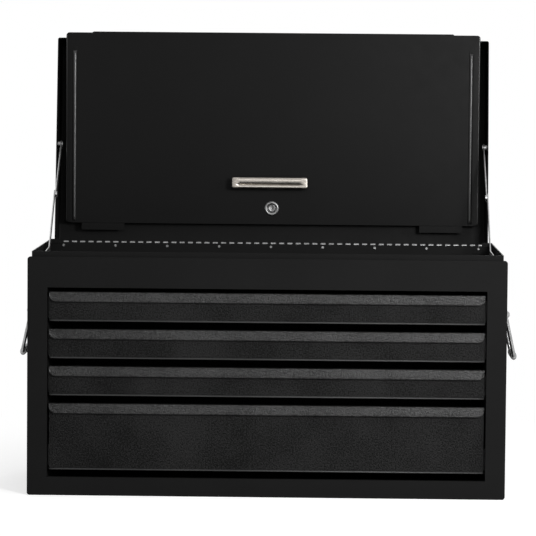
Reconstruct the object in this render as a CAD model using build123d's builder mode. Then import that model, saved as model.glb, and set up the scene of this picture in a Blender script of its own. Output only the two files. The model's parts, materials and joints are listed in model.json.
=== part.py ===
from build123d import *
from math import cos, floor, radians, sin
import os

# Machinist tool chest: a sheet-steel cabinet with four drawers under an open top
# compartment, a hinged lid held by folding stays, and a lift-off front cover that is
# stored upright in the open lid.
#
# Millimetres. X is the width, -Y is the front, +Z is up. The origin is the centre of the
# face that the chest stands on. Every piece is placed as it lies with the lid open, the
# drawers shut and the front cover stored in the lid. The lid's own pieces are drawn
# closed, as they leave the folding brake, and are then swung open about the hinge pin.

# ---- driving dimensions -----------------------------------------------------------------

# cabinet
frame_width = 686.0          # over the front frame, 27 in
frame_height = 343.0
chest_depth = 318.0          # face of the front frame to the back of the cabinet
frame_overhang = 5.5         # frame past the cabinet's sides
rim_rise = 7.5               # top of the side walls above the frame
wall = 0.9                   # body sheet
base_sheet = 1.2
frame_sheet = 1.2
frame_fold = 8.0             # how far the frame's edges fold back
frame_corner = 4.0
stile = 28.5                 # frame beside the drawer opening
top_rail = 43.9              # frame above it
bottom_rail = 26.3           # frame below it
rim_hem = 2.0                # thickness of the rolled rim
rim_hem_height = 7.0
rear_flange = 14.0
base_flange = 12.0

# top compartment
tray_overhang = 9.5          # tray past the slide panels' inner faces
tray_rise = 0.9              # underside of the tray above the drawer opening
tray_wall_height = 20.0
tray_clearance = 1.0
liner_thickness = 2.0
liner_clearance = 0.4

# drawers and their slides
small_drawers = 3
top_reveal = 6.25            # frame to the first drawer
small_front_height = 42.65
drawer_gap = 10.85
bottom_reveal = 9.8
front_clearance = 2.5        # drawer front to the side of the opening
front_setback = 7.0          # drawer face behind the frame's face
front_thickness = 6.0
drawer_back_gap = 13.1       # behind the drawer boxes
drawer_sheet = 0.9
box_lift = 1.8               # box floor above the lower edge of the front
small_box_height = 34.0
deep_box_margin = 10.2       # deep box lower than its front
pull_height = 14.3
pull_reach = 6.5             # pull in front of the drawer face
pull_sheet = 1.5
pull_corner = 10.0
slide_space = 12.7           # drawer side to slide panel
slide_height = 30.0
slide_sheet = 1.2
slide_gap = 0.5              # running gap between members
slide_setback = 10.0         # member ends behind the drawer fronts
panel_sheet = 1.2
panel_flange = 17.0

# lid
lid_inset = 5.0              # side of the lid inside the side of the cabinet
lid_height = 68.0            # free edge to the outside of the top
lid_gap = 1.5                # closed lid's free edge above the cabinet's rim
lid_front_setback = 2.6      # lid front behind the frame's face
lid_corner = 3.0
lip_reach = 10.0             # finger lip along the front edge
lip_end = 53.1               # lip's end to the side of the lid
lip_corner = 3.0
lid_opening = 99.0           # degrees from closed to the stop

# piano hinge
hinge_drop = 5.0             # pin centre below the cabinet's rim
back_drop = 4.9              # top of the back panel below the rim
hinge_pitch = 12.7           # one knuckle of each leaf
hinge_end = 7.0              # least room at each end of the hinge
hinge_sheet = 1.0
knuckle_radius = 2.4
pin_radius = 1.2
pin_clearance = 0.05
lower_knuckle = 7.4          # length of the cabinet leaf's knuckles
knuckle_gap = 0.3
knuckle_notch = 0.5
leaf_width = 14.0
rivet_count = 9
rivet_end = 12.7             # outer rivets to the ends of the hinge
rivet_drop = 4.7             # below the pin, on the cabinet leaf
rivet_rise = 9.5             # above the pin, on the lid leaf
rivet_shank = 1.6
rivet_head = 2.1
rivet_head_height = 1.0
rivet_clearance = 0.05

# folding stays
stay_lower_run = 149.4       # cabinet pivot in front of the hinge pin
stay_lower_drop = 16.5       # cabinet pivot below the hinge pin
stay_lid_run = 155.0         # lid pivot in front of the hinge pin, lid closed
stay_lid_rise = 30.0         # lid pivot above the hinge pin, lid closed
stay_lower_length = 139.0    # pivot to knee
stay_upper_length = 123.0
stay_width = 12.0
stay_sheet = 1.5
stay_gap = 0.3
stay_wall_gap = 2.6          # lower arm to the inside of the lid's flange
joggle_start = 11.0          # from the cabinet pivot along the lower arm
joggle_end = 19.0
joggle_offset = 4.0          # how far the lower arm's end is set out to the wall
stud_radius = 2.5
stud_head = 4.5
stud_head_height = 1.0
stud_clearance = 0.05

# front cover, stored in the lid
cover_side_lap = 5.0         # past the opening at each side, once it is on the cabinet
cover_height_lap = 21.2      # taller than the opening
cover_rise = 8.3             # stored, its top above the lid's front edge
cover_sheet = 0.9
cover_corner = 5.0
cover_fold = 8.0             # side and bottom edges fold back
cover_fold_stop = 16.0       # the side folds end this far below the top
cover_seat = 0.3             # cover to the lid's edge and to its clips
bead_inset = 13.5            # from the side of the cover
bead_radius = 2.8
bead_top = 31.0              # below the cover's top
bead_bottom = 3.0
clip_inset = 71.0            # middle of a clip to the side of the lid
clip_width = 66.0
clip_sheet = 1.2
clip_drop = 10.5
clip_leg = 12.0

# cover handle and lock
handle_length = 116.0
handle_height = 18.6
handle_rise = 64.5           # centre above the cover's lower edge
handle_shift = -3.0          # centre to the left of the cover's centre
handle_stand = 26.0          # front of the grip to the cover
handle_grip = 8.0            # thickness of the grip
handle_post = 15.0
handle_round = 3.0
groove_height = 2.4
groove_depth = 1.6
groove_drop = 1.6
screw_radius = 2.0
screw_head = 4.0
screw_head_height = 2.4
screw_depth = 12.0
lock_rise = 24.5             # centre above the cover's lower edge
lock_ring_lip = 2.0          # ring wider than the barrel
lock_ring_height = 2.4
lock_ring_round = 1.2
lock_barrel = 9.5
lock_length = 13.0           # behind the cover
lock_clearance = 0.05
barrel_wall = 3.45
keyway_width = 2.4
keyway_height = 8.0
keyway_depth = 5.0
nut_wall = 2.5
nut_height = 4.0
cam_width = 12.0
cam_reach = 22.0
cam_sheet = 2.0
cam_square = 5.0

# side handles
bail_pivot_drop = 92.5       # below the rim
bail_pivot_stand = 10.0      # pivot centre to the cabinet side
bail_drop = 64.0
bail_lean = 12.1             # degrees from hanging straight down, at the stop
bail_span = 96.0             # between the arms' centres
bail_rod = 2.6               # radius
bail_bend = 9.0              # radius, where the arms meet the grip
bail_turn_margin = 0.4       # bend at the pivots, over the rod's own radius
bail_stub = 9.0
bail_grip_length = 62.0
bail_grip_width = 4.7        # half of the grip's thickness
bail_grip_height = 6.4       # half of the grip's height
grip_clearance = 0.05
ear_gap = 0.6
ear_thickness = 3.0
ear_radius = 5.8
plate_corner = 4.0
plate_height = 40.0
plate_width = 26.0
plate_thickness = 2.0
plate_rivet_spacing = 28.0
plate_rivet_head = 3.2
plate_rivet_head_height = 1.4

# ---- places worked out from them --------------------------------------------------------

front_y = -chest_depth / 2
back_y = chest_depth / 2
shell_front = front_y + frame_fold
shell_width = frame_width - 2 * frame_overhang
rim_height = frame_height + rim_rise
opening_width = frame_width - 2 * stile
opening_height = frame_height - top_rail - bottom_rail
inner_half = shell_width / 2 - wall
opening_half = opening_width / 2
opening_top = bottom_rail + opening_height
shell_middle = (shell_front + back_y - wall) / 2
shell_depth = back_y - wall - shell_front
tray_width = opening_width + 2 * tray_overhang
tray_floor_height = opening_top + tray_rise

face_y = front_y + front_setback
front_width = opening_width - 2 * front_clearance
box_front = face_y + front_thickness
box_back = back_y - wall - drawer_back_gap
drawer_depth = box_back - box_front
box_half = opening_half - slide_space
slide_front = box_front + slide_setback
slide_length = box_back - slide_front

hinge_y = back_y + knuckle_radius
hinge_height = rim_height - hinge_drop
back_height = rim_height - back_drop
knuckle_hole = pin_radius + pin_clearance
upper_knuckle = hinge_pitch - lower_knuckle - 2 * knuckle_gap
knuckle_count = floor((shell_width - 2 * hinge_end) / hinge_pitch)
hinge_length = knuckle_count * hinge_pitch
hinge_axis = Axis((0, hinge_y, hinge_height), (1, 0, 0))
rivet_pitch = (hinge_length - 2 * rivet_end) / (rivet_count - 1)

lid_width = shell_width - 2 * lid_inset
lid_edge_height = rim_height + lid_gap
lid_front = front_y + lid_front_setback
lid_top = lid_edge_height + lid_height
lip_width = lid_width - 2 * lip_end
lid_depth = back_y - lid_front
lid_inner_half = lid_width / 2 - wall


def opened(y, z):
    """Where a point of the closed lid lies once the lid has swung open."""
    run, rise = y - hinge_y, z - hinge_height
    turn = radians(-lid_opening)
    return (
        hinge_y + run * cos(turn) - rise * sin(turn),
        hinge_height + run * sin(turn) + rise * cos(turn),
    )


def lid_skin_at(z):
    """The inside of the open lid's top, as a place along Y at height z."""
    y1, z1 = opened(lid_front, lid_top - wall)
    y2, z2 = opened(back_y, lid_top - wall)
    return y1 + (z - z1) * (y2 - y1) / (z2 - z1)


lid_edge_y, lid_edge_z = opened(lid_front, lid_edge_height)
cover_width = opening_width + 2 * cover_side_lap
cover_height = opening_height + cover_height_lap
cover_back = lid_edge_y - cover_seat
cover_front = cover_back - cover_sheet
cover_top = lid_edge_z + cover_rise
cover_bottom = cover_top - cover_height
bead_spacing = cover_width - 2 * bead_inset
clip_spacing = lid_width - 2 * clip_inset
shelf_top = cover_bottom - cover_seat
handle_z = cover_bottom + handle_rise
screw_spacing = handle_length - handle_post
lock_z = cover_bottom + lock_rise
lock_ring = lock_barrel + lock_ring_lip
plug_radius = lock_barrel - barrel_wall - lock_clearance
nut_across = 2 * (lock_barrel + nut_wall)

stay_lower_y = hinge_y - stay_lower_run
stay_lower_z = hinge_height - stay_lower_drop
stay_lid_y, stay_lid_z = opened(hinge_y - stay_lid_run, hinge_height + stay_lid_rise)
lower_arm_out = lid_inner_half - stay_wall_gap
upper_arm_out = lower_arm_out - stay_sheet - stay_gap
stay_head_out = upper_arm_out - stay_sheet - stay_gap


def facing_front(y):
    """An upright plane at y that faces the front."""
    return Plane.XZ.offset(-y)


def facing_right(x):
    """An upright plane at x that faces right, with Y and Z as its directions."""
    return Plane.YZ.offset(x)


def save(piece, name):
    piece.label = name
    export_step(piece, f"parts/{name}.step")


os.makedirs("parts", exist_ok=True)

# ---- cabinet ----------------------------------------------------------------------------

# Front and side walls in one folded sheet, with flanges turned in at the back and a
# rolled rim along the top.
with BuildPart() as cabinet_shell:
    with BuildSketch(Plane.XY.offset(base_sheet)):
        with Locations((0, shell_middle)):
            Rectangle(shell_width, shell_depth)
            Rectangle(2 * inner_half, shell_depth - 2 * wall, mode=Mode.SUBTRACT)
        with Locations((0, back_y - 1.5 * wall)):
            Rectangle(2 * (inner_half - rear_flange), wall, mode=Mode.SUBTRACT)
    extrude(amount=rim_height - base_sheet)
    with BuildSketch(facing_front(shell_front)):
        with Locations((0, bottom_rail + opening_height / 2)):
            Rectangle(opening_width, opening_height)
    extrude(amount=-wall, mode=Mode.SUBTRACT)
    with BuildSketch(Plane.XY.offset(rim_height - rim_hem_height)):
        with Locations((0, shell_middle)):
            Rectangle(shell_width, shell_depth)
            Rectangle(shell_width - 2 * rim_hem, shell_depth - 2 * rim_hem, mode=Mode.SUBTRACT)
        with Locations((0, back_y - wall - rim_hem / 2)):
            Rectangle(2 * (inner_half - rear_flange), rim_hem, mode=Mode.SUBTRACT)
    extrude(amount=rim_hem_height)
save(cabinet_shell.part, "cabinet_shell")

lower_rivet_z = hinge_height - rivet_drop
upper_rivet_z = hinge_height + rivet_rise
rivet_hole = rivet_shank + rivet_clearance

with BuildPart() as back_panel:
    with BuildSketch(facing_front(back_y)):
        with Locations((0, (base_sheet + back_height) / 2)):
            Rectangle(shell_width, back_height - base_sheet)
        with Locations((0, lower_rivet_z)):
            with GridLocations(rivet_pitch, 0, rivet_count, 1):
                Circle(rivet_hole, mode=Mode.SUBTRACT)
    extrude(amount=wall)
save(back_panel.part, "back_panel")

with BuildPart() as base_panel:
    with BuildSketch(Plane.XY):
        with Locations((0, (shell_front + back_y) / 2)):
            Rectangle(shell_width, back_y - shell_front)
    extrude(amount=base_sheet)
    with BuildSketch(Plane.XY.offset(base_sheet)):
        with Locations((0, shell_middle)):
            Rectangle(2 * inner_half, shell_depth - 2 * wall)
            Rectangle(2 * (inner_half - wall), shell_depth - 2 * wall, mode=Mode.SUBTRACT)
    extrude(amount=base_flange)
save(base_panel.part, "base_panel")

# A shallow pan with its edges folded back, and a folded edge round the drawer opening.
with BuildPart() as front_frame:
    with BuildSketch(facing_front(front_y)):
        with Locations((0, frame_height / 2)):
            RectangleRounded(frame_width, frame_height, frame_corner)
    extrude(amount=-frame_fold)
    with BuildSketch(facing_front(front_y + frame_sheet)):
        with Locations((0, frame_height / 2)):
            Rectangle(frame_width - 2 * frame_sheet, frame_height - 2 * frame_sheet)
    extrude(amount=frame_sheet - frame_fold, mode=Mode.SUBTRACT)
    with BuildSketch(facing_front(front_y)):
        with Locations((0, bottom_rail + opening_height / 2)):
            Rectangle(opening_width + 2 * frame_sheet, opening_height + 2 * frame_sheet)
    extrude(amount=-frame_fold)
    with BuildSketch(facing_front(front_y)):
        with Locations((0, bottom_rail + opening_height / 2)):
            Rectangle(opening_width, opening_height)
    extrude(amount=-frame_fold, mode=Mode.SUBTRACT)
save(front_frame.part, "front_frame")

# ---- slide panels, which carry the drawer slides and the top tray ------------------------

panel_front = shell_front + wall
panel_back = back_y - 2 * wall
for side, side_name in ((-1, "left"), (1, "right")):
    inner = side * opening_half
    outer = side * (opening_half + panel_sheet)
    tip = side * (opening_half + panel_flange)
    with BuildPart() as slide_panel:
        with BuildSketch(Plane.XY.offset(base_sheet)):
            with BuildLine():
                Polyline(
                    (tip, panel_front),
                    (inner, panel_front),
                    (inner, panel_back),
                    (tip, panel_back),
                    (tip, panel_back - panel_sheet),
                    (outer, panel_back - panel_sheet),
                    (outer, panel_front + panel_sheet),
                    (tip, panel_front + panel_sheet),
                    close=True,
                )
            make_face()
        extrude(amount=tray_floor_height - base_sheet)
    save(slide_panel.part, f"slide_panel_{side_name}")

# ---- top tray ---------------------------------------------------------------------------

tray_front = panel_front + rim_hem
tray_back = panel_back - tray_clearance
tray_middle = (tray_front + tray_back) / 2
tray_depth = tray_back - tray_front

with BuildPart() as top_tray:
    with BuildSketch(Plane.XY.offset(tray_floor_height)):
        with Locations((0, tray_middle)):
            Rectangle(tray_width, tray_depth)
    extrude(amount=tray_wall_height)
    with BuildSketch(Plane.XY.offset(tray_floor_height + wall)):
        with Locations((0, tray_middle)):
            Rectangle(tray_width - 2 * wall, tray_depth - 2 * wall)
    extrude(amount=tray_wall_height - wall, mode=Mode.SUBTRACT)
save(top_tray.part, "top_tray")

with BuildPart() as tray_liner:
    with BuildSketch(Plane.XY.offset(tray_floor_height + wall)):
        with Locations((0, tray_middle)):
            edge = wall + liner_clearance
            Rectangle(tray_width - 2 * edge, tray_depth - 2 * edge)
    extrude(amount=liner_thickness)
save(tray_liner.part, "tray_liner")

# ---- drawers ----------------------------------------------------------------------------


def slide_member(name, back_x, lip_x, height, middle_z):
    """A left and a right channel that run the length of the drawer.

    Each has its web at back_x and its flanges up to lip_x.
    """
    start = Plane((0, slide_front, middle_z), x_dir=(1, 0, 0), z_dir=(0, -1, 0))
    inward = slide_sheet if lip_x > back_x else -slide_sheet
    half = height / 2
    with BuildPart() as member:
        with BuildSketch(start):
            with BuildLine():
                Polyline(
                    (back_x, half),
                    (lip_x, half),
                    (lip_x, half - slide_sheet),
                    (back_x + inward, half - slide_sheet),
                    (back_x + inward, slide_sheet - half),
                    (lip_x, slide_sheet - half),
                    (lip_x, -half),
                    (back_x, -half),
                    close=True,
                )
            make_face()
        extrude(amount=-slide_length)
        mirror(about=Plane.YZ)
    save(member.part, name)


middle_web = opening_half - slide_sheet - slide_gap
inner_lip = middle_web - slide_sheet - slide_gap
member_step = 2 * (slide_sheet + slide_gap)
drawer_top = opening_top - top_reveal

for number in range(1, small_drawers + 2):
    deep = number > small_drawers
    drawer_bottom = bottom_rail + bottom_reveal if deep else drawer_top - small_front_height
    front_height = drawer_top - drawer_bottom
    front_middle = (drawer_top + drawer_bottom) / 2
    box_bottom = drawer_bottom + box_lift
    box_height = front_height - deep_box_margin if deep else small_box_height

    # Front, sides, back and floor: the front is a pan whose edges fold back, and the box
    # behind it is open at the top.
    with BuildPart() as drawer_box:
        with BuildSketch(facing_front(face_y)):
            with Locations((0, front_middle)):
                Rectangle(front_width, front_height)
        extrude(amount=-front_thickness)
        with BuildSketch(facing_front(face_y + drawer_sheet)):
            with Locations((0, front_middle)):
                Rectangle(front_width - 2 * drawer_sheet, front_height - 2 * drawer_sheet)
        extrude(amount=drawer_sheet - front_thickness, mode=Mode.SUBTRACT)
        with BuildSketch(Plane.XY.offset(box_bottom)):
            with Locations((0, (box_front - drawer_sheet + box_back) / 2)):
                Rectangle(2 * box_half, drawer_depth + drawer_sheet)
        extrude(amount=box_height)
        with BuildSketch(Plane.XY.offset(box_bottom + drawer_sheet)):
            with Locations((0, (box_front + box_back - drawer_sheet) / 2)):
                Rectangle(2 * (box_half - drawer_sheet), drawer_depth - drawer_sheet)
        extrude(amount=box_height - drawer_sheet, mode=Mode.SUBTRACT)
    save(drawer_box.part, f"drawer_box_{number}")

    # A full-width pull: a strip with rounded lower corners that hangs in front of the
    # drawer, and a ledge along its top back to the drawer. Fingers go up behind the strip.
    pull_face = face_y - pull_reach
    with BuildPart() as drawer_pull:
        with BuildSketch(facing_front(pull_face)):
            with Locations((0, drawer_top - pull_height / 2)):
                Rectangle(front_width, pull_height)
            lower_corners = vertices().group_by(Axis.Y)[0]
            fillet(lower_corners, pull_corner)
        extrude(amount=-pull_sheet)
        with BuildSketch(facing_front(pull_face)):
            with Locations((0, drawer_top - pull_sheet / 2)):
                Rectangle(front_width, pull_sheet)
        extrude(amount=-pull_reach)
    save(drawer_pull.part, f"drawer_pull_{number}")

    with BuildPart() as drawer_liner:
        with BuildSketch(Plane.XY.offset(box_bottom + drawer_sheet)):
            with Locations((0, (box_front + box_back - drawer_sheet) / 2)):
                Rectangle(
                    2 * (box_half - drawer_sheet - liner_clearance),
                    drawer_depth - drawer_sheet - 2 * liner_clearance,
                )
        extrude(amount=liner_thickness)
    save(drawer_liner.part, f"drawer_liner_{number}")

    slide_z = box_bottom + small_box_height / 2
    slide_member(
        f"slide_outer_{number}",
        opening_half,
        box_half + slide_sheet + slide_gap,
        slide_height,
        slide_z,
    )
    slide_member(
        f"slide_middle_{number}",
        middle_web,
        box_half + slide_sheet + slide_gap,
        slide_height - member_step,
        slide_z,
    )
    slide_member(
        f"slide_inner_{number}",
        box_half,
        inner_lip,
        slide_height - 2 * member_step,
        slide_z,
    )
    drawer_top = drawer_bottom - drawer_gap

# ---- piano hinge ------------------------------------------------------------------------


def hinge_leaf(first_x, knuckle, direction, rivet_z):
    """A leaf behind the wall: a strip, its rolled knuckles and its rivet holes.

    direction is -1 for the leaf that hangs down from the pin and 1 for the one above it.
    """
    tip = hinge_height + direction * leaf_width
    root = hinge_height + direction * (knuckle_radius + knuckle_notch)
    middle_y = back_y + hinge_sheet / 2
    starts = [first_x + hinge_pitch * turn for turn in range(knuckle_count)]
    with BuildPart() as leaf:
        with BuildSketch(facing_right(-hinge_length / 2)):
            with Locations((middle_y, (tip + root) / 2)):
                Rectangle(hinge_sheet, abs(tip - root))
        extrude(amount=hinge_length)
        with BuildSketch(*[facing_right(x) for x in starts]):
            with Locations((middle_y, (root + hinge_height) / 2)):
                Rectangle(hinge_sheet, abs(root - hinge_height))
            with Locations((hinge_y, hinge_height)):
                Circle(knuckle_radius)
        extrude(amount=knuckle)
        with BuildSketch(facing_right(-hinge_length / 2)):
            with Locations((hinge_y, hinge_height)):
                Circle(knuckle_hole)
        extrude(amount=hinge_length, mode=Mode.SUBTRACT)
        with BuildSketch(facing_front(back_y + hinge_sheet)):
            with Locations((0, rivet_z)):
                with GridLocations(rivet_pitch, 0, rivet_count, 1):
                    Circle(rivet_hole)
        extrude(amount=hinge_sheet, mode=Mode.SUBTRACT)
    return leaf.part


def hinge_rivets(rivet_z):
    """Rivets through a wall and its leaf, with a domed head at each end."""
    inside = back_y - wall
    outside = back_y + hinge_sheet
    with BuildPart() as rivets:
        with BuildSketch(facing_front(outside + rivet_head_height)):
            with Locations((0, rivet_z)):
                with GridLocations(rivet_pitch, 0, rivet_count, 1):
                    Circle(rivet_head)
        extrude(amount=rivet_head_height)
        with BuildSketch(facing_front(outside)):
            with Locations((0, rivet_z)):
                with GridLocations(rivet_pitch, 0, rivet_count, 1):
                    Circle(rivet_shank)
        extrude(amount=outside - inside)
        with BuildSketch(facing_front(inside)):
            with Locations((0, rivet_z)):
                with GridLocations(rivet_pitch, 0, rivet_count, 1):
                    Circle(rivet_head)
        extrude(amount=rivet_head_height)
        rims = edges().filter_by(GeomType.CIRCLE).group_by(Axis.Y)
        chamfer(rims[0] + rims[-1], rivet_head_height / 2)
    return rivets.part


leaf_start = -hinge_length / 2
save(hinge_leaf(leaf_start, lower_knuckle, -1, lower_rivet_z), "hinge_leaf_lower")
save(hinge_rivets(lower_rivet_z), "hinge_rivets_lower")

with BuildPart() as hinge_pin:
    with BuildSketch(facing_right(-hinge_length / 2)):
        with Locations((hinge_y, hinge_height)):
            Circle(pin_radius)
    extrude(amount=hinge_length)
save(hinge_pin.part, "hinge_pin")

# ---- lid --------------------------------------------------------------------------------

# A pan, open below, with a finger lip turned out along the middle of its front edge.
with BuildPart() as lid_shell:
    with BuildSketch(Plane.XY.offset(lid_edge_height)):
        with Locations((0, (lid_front + back_y) / 2)):
            Rectangle(lid_width, lid_depth)
    extrude(amount=lid_height)
    fillet(edges().filter_by(Axis.Z), lid_corner)
    fillet(faces().sort_by(Axis.Z)[-1].edges(), lid_corner)
    open_side = faces().sort_by(Axis.Z)[0]
    offset(amount=-wall, openings=open_side)
    with BuildSketch(Plane.XY.offset(lid_edge_height)):
        with Locations((0, lid_front + (wall - lip_reach) / 2)):
            Rectangle(lip_width, lip_reach + wall)
        fillet(vertices().group_by(Axis.Y)[0], lip_corner)
    extrude(amount=wall)
    with BuildSketch(facing_front(back_y)):
        with Locations((0, upper_rivet_z)):
            with GridLocations(rivet_pitch, 0, rivet_count, 1):
                Circle(rivet_hole)
    extrude(amount=wall, mode=Mode.SUBTRACT)
    with BuildSketch(facing_right(-lid_width / 2)):
        with Locations((hinge_y - stay_lid_run, hinge_height + stay_lid_rise)):
            Circle(stud_radius + stud_clearance)
    extrude(amount=lid_width, mode=Mode.SUBTRACT)
save(lid_shell.part.rotate(hinge_axis, -lid_opening), "lid_shell")

upper_start = leaf_start + lower_knuckle + knuckle_gap
upper_leaf = hinge_leaf(upper_start, upper_knuckle, 1, upper_rivet_z)
save(upper_leaf.rotate(hinge_axis, -lid_opening), "hinge_leaf_upper")
save(hinge_rivets(upper_rivet_z).rotate(hinge_axis, -lid_opening), "hinge_rivets_upper")

# ---- folding stays ----------------------------------------------------------------------


def stepped_pin(steps, y, z):
    """A round pin along X on both sides of the chest, from (start, end, radius) steps."""
    with BuildPart() as pin:
        for start, end, radius in steps:
            with BuildSketch(facing_right(start)):
                with Locations((y, z)):
                    Circle(radius)
            extrude(amount=end - start)
        mirror(about=Plane.YZ)
    return pin.part


# The cabinet's studs stand on the side walls and carry the lower arms.
end_in = lower_arm_out - stay_sheet + joggle_offset
lower_studs = stepped_pin(
    (
        (end_in - stay_gap - stud_head_height, end_in - stay_gap, stud_head),
        (end_in - stay_gap - stud_head_height, inner_half, stud_radius),
        (end_in + stay_sheet + stay_gap, inner_half, stud_head),
    ),
    stay_lower_y,
    stay_lower_z,
)
save(lower_studs, "stay_studs_lower")

# The lid's studs pass through its side flanges and carry the upper arms.
upper_studs = stepped_pin(
    (
        (stay_head_out - stud_head_height, stay_head_out, stud_head),
        (stay_head_out - stud_head_height, lid_width / 2 + stud_head_height, stud_radius),
        (upper_arm_out + stay_gap, lid_inner_half, stud_head),
        (lid_width / 2, lid_width / 2 + stud_head_height, stud_head),
    ),
    hinge_y - stay_lid_run,
    hinge_height + stay_lid_rise,
)
save(upper_studs.rotate(hinge_axis, -lid_opening), "stay_studs_upper")

# The knee lies where arms of these two lengths meet, just above the straight line between
# the pivots, which is what locks the stay open.
pivot_line = Vector(0, stay_lid_y - stay_lower_y, stay_lid_z - stay_lower_z)
span = pivot_line.length
along = (stay_lower_length**2 - stay_upper_length**2 + span**2) / (2 * span)
above = max(stay_lower_length**2 - along**2, 0) ** 0.5
knee_y = stay_lower_y + (pivot_line.Y * along - pivot_line.Z * above) / span
knee_z = stay_lower_z + (pivot_line.Z * along + pivot_line.Y * above) / span


def stay_arm(outer_x, start, end, eye, set_out=0.0, head_x=None):
    """A flat bar with round ends and an eye at its start.

    set_out moves the bar's start outwards through a joggle. head_x adds a knee rivet's head
    at its end.
    """
    reach = Vector(end[0] - start[0], end[1] - start[1])
    middle = ((start[0] + end[0]) / 2, (start[1] + end[1]) / 2)
    lean = Vector(1, 0).get_signed_angle(reach, Vector(0, 0, 1))
    inner_x = outer_x - stay_sheet
    half = stay_width / 2
    along = Vector(0, reach.X, reach.Y)
    edge_on = Plane(Vector(0, *start), x_dir=along, z_dir=along.cross(Vector(1, 0, 0)))
    side = 1 if edge_on.y_dir.X > 0 else -1
    with BuildPart() as arm:
        with BuildSketch(edge_on):
            with BuildLine():
                Polyline(
                    (-half, side * (inner_x + set_out)),
                    (joggle_start, side * (inner_x + set_out)),
                    (joggle_end, side * inner_x),
                    (reach.length + half, side * inner_x),
                    (reach.length + half, side * outer_x),
                    (joggle_end, side * outer_x),
                    (joggle_start, side * (outer_x + set_out)),
                    (-half, side * (outer_x + set_out)),
                    close=True,
                )
            make_face()
        extrude(amount=half, both=True)
        with BuildSketch(facing_right(inner_x)):
            with Locations(Location(middle, lean)):
                SlotCenterToCenter(reach.length, stay_width)
            with Locations(start):
                Circle(eye, mode=Mode.SUBTRACT)
        extrude(amount=stay_sheet + set_out, mode=Mode.INTERSECT)
        if head_x is not None:
            with BuildSketch(facing_right(head_x)):
                with Locations(end):
                    Circle(stud_head)
            extrude(amount=inner_x - head_x)
    return arm.part


eye = stud_radius + stud_clearance
lower_pivot = (stay_lower_y, stay_lower_z)
lid_pivot = (stay_lid_y, stay_lid_z)
knee = (knee_y, knee_z)
lower_arm = stay_arm(lower_arm_out, lower_pivot, knee, eye, set_out=joggle_offset)
knee_head = stay_head_out - stud_head_height
upper_arm = stay_arm(upper_arm_out, lid_pivot, knee, eye, head_x=knee_head)
save(lower_arm.mirror(Plane.YZ), "stay_lower_left")
save(lower_arm, "stay_lower_right")
save(upper_arm.mirror(Plane.YZ), "stay_upper_left")
save(upper_arm, "stay_upper_right")

# ---- front cover ------------------------------------------------------------------------

fold_top = cover_top - cover_fold_stop

with BuildPart() as cover_panel:
    with BuildSketch(facing_front(cover_front)):
        with Locations((0, cover_bottom + cover_height / 2)):
            RectangleRounded(cover_width, cover_height, cover_corner)
    extrude(amount=-cover_sheet)
    # the side and bottom edges, folded back
    with BuildSketch(facing_front(cover_back)):
        with Locations((0, cover_bottom + cover_height / 2)):
            RectangleRounded(cover_width, cover_height, cover_corner)
            RectangleRounded(
                cover_width - 2 * cover_sheet,
                cover_height - 2 * cover_sheet,
                cover_corner - cover_sheet,
                mode=Mode.SUBTRACT,
            )
        with Locations((0, (cover_top + fold_top) / 2)):
            Rectangle(cover_width, cover_top - fold_top, mode=Mode.SUBTRACT)
    extrude(amount=-cover_fold)
    # two upright stiffening beads, pressed from behind
    for x in (-bead_spacing / 2, bead_spacing / 2):
        with BuildSketch(Plane.XY.offset(cover_bottom + bead_bottom)):
            with Locations((x, cover_front)):
                Circle(bead_radius)
            with Locations((x, cover_front + bead_radius / 2)):
                Rectangle(2 * bead_radius, bead_radius, mode=Mode.SUBTRACT)
        extrude(amount=cover_height - bead_top - bead_bottom)
        with BuildSketch(Plane.XY.offset(cover_bottom + bead_bottom + cover_sheet)):
            with Locations((x, cover_front)):
                Circle(bead_radius - cover_sheet)
        extrude(
            amount=cover_height - bead_top - bead_bottom - 2 * cover_sheet,
            mode=Mode.SUBTRACT,
        )
    with BuildSketch(facing_front(cover_front)):
        with Locations((0, lock_z)):
            Circle(lock_barrel + lock_clearance)
        with Locations((handle_shift, handle_z)):
            with GridLocations(screw_spacing, 0, 2, 1):
                Circle(screw_radius + lock_clearance)
    extrude(amount=-cover_sheet, mode=Mode.SUBTRACT)
save(cover_panel.part, "cover_panel")

# Two ledges on the inside of the lid's top carry the cover's lower edge.
with BuildPart() as cover_clips:
    clip_skin = lid_skin_at(shelf_top)
    clip_foot = lid_skin_at(shelf_top - clip_leg)
    clip_front = cover_front - clip_sheet
    with BuildSketch(facing_right(clip_spacing / 2 - clip_width / 2)):
        with BuildLine():
            Polyline(
                (clip_front, shelf_top),
                (clip_skin, shelf_top),
                (clip_foot, shelf_top - clip_leg),
                (clip_foot - clip_sheet, shelf_top - clip_leg),
                (clip_skin - clip_sheet, shelf_top - clip_sheet),
                (clip_front + clip_sheet, shelf_top - clip_sheet),
                (clip_front + clip_sheet, shelf_top - clip_drop),
                (clip_front, shelf_top - clip_drop),
                close=True,
            )
        make_face()
    extrude(amount=clip_width)
    mirror(about=Plane.YZ)
save(cover_clips.part, "cover_clips")

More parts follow.
